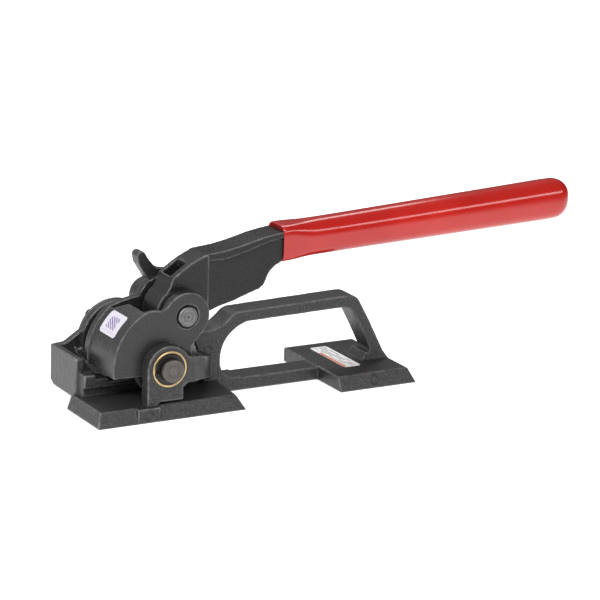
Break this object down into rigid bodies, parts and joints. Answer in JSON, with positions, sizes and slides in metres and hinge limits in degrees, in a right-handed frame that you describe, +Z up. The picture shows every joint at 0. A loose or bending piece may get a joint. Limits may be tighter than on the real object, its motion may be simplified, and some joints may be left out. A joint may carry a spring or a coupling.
{
  "type": "steel strap tensioner",
  "caption": "Hand-held feed-wheel strap tensioner: cast base with hand frame, pivoting geared rocker, ratchet handle with a long dipped grip and a thumb lever.",
  "frame": {"origin": "on the sole plane, directly below the rocker pivot axis and in the middle of the strap path", "axes": "+X along the tool from the nose to the end of the grip, +Y across it from the front bearing lug to the gear case, +Z up from the soles"},
  "size_m": [0.4902, 0.121, 0.1618],
  "materials": {
    "black_paint": "semi-gloss black over a slightly grainy casting",
    "steel": "bright machined steel",
    "dark_steel": "blackened steel",
    "bronze": "golden, lightly worn",
    "red_vinyl": "glossy dipped vinyl",
    "label": "printed label, no lettering"
  },
  "bodies": {
    "base": {"base_frame": "black_paint", "front_bushing": "bronze", "rear_cap": "black_paint", "rear_bushing": "bronze", "cap_screws": "dark_steel", "gripper_plug": "steel", "gripper_pin": "steel", "foot_label": "label", "rocker_spring": "steel"},
    "rocker": {"feed_frame": "black_paint", "pivot_shaft": "dark_steel", "shaft_key": "steel", "retaining_ring": "dark_steel", "rear_ring": "dark_steel", "lever_pin": "steel", "lever_spring": "steel", "drum_label": "label", "drive_bushing": "bronze", "thrust_washers": "steel"},
    "feed_unit": {"feed_wheel": "steel", "feed_hub": "dark_steel", "main_gear": "steel", "gear_key": "steel"},
    "drive_unit": {"drive_shaft": "steel", "ratchet_wheel": "steel", "pinion": "steel", "holding_ratchet": "steel", "drive_key": "steel", "drive_ring": "dark_steel"},
    "handle": {"handle_lever": "black_paint", "handle_bushings": "bronze", "pawl_pin": "steel", "pawl_spring": "steel", "grip_sleeve": "red_vinyl"},
    "pawl": {"drive_pawl": "steel"},
    "lever": {"thumb_lever": "black_paint"}
  },
  "joints": [
    {"name": "rocker_pivot", "type": "hinge", "parent": "base", "child": "rocker", "pos_m": [0, 0.031, 0.0437], "axis": [0, -1, 0], "range_deg": [0, 9], "stiffness_Nm_per_rad": 1, "springref_deg": -17.19, "deforming": ["rocker_spring"]},
    {"name": "feed_spin", "type": "hinge", "parent": "rocker", "child": "feed_unit", "pos_m": [0.006, 0.026, 0.0437], "axis": [0, -1, 0], "continuous": true},
    {"name": "drive_spin", "type": "hinge", "parent": "rocker", "child": "drive_unit", "pos_m": [0.0228, 0.026, 0.0835], "axis": [0, -1, 0], "continuous": true},
    {"name": "handle_swing", "type": "hinge", "parent": "rocker", "child": "handle", "pos_m": [0.0228, 0.012, 0.0835], "axis": [0, -1, 0], "range_deg": [-12, 84]},
    {"name": "drive_pawl_pivot", "type": "hinge", "parent": "handle", "child": "pawl", "pos_m": [0.0399, 0.01275, 0.1026], "axis": [0, -1, 0], "range_deg": [-2, 6], "stiffness_Nm_per_rad": 0.01, "deforming": ["pawl_spring"]},
    {"name": "thumb_lever_pivot", "type": "hinge", "parent": "rocker", "child": "lever", "pos_m": [0.0449, 0.0425, 0.0776], "axis": [0, -1, 0], "range_deg": [-14, 2], "stiffness_Nm_per_rad": 0.3, "deforming": ["lever_spring"]}
  ],
  "couplings": [
    {"joint": "drive_spin", "follows": "feed_spin", "ratio": -3.3636}
  ]
}
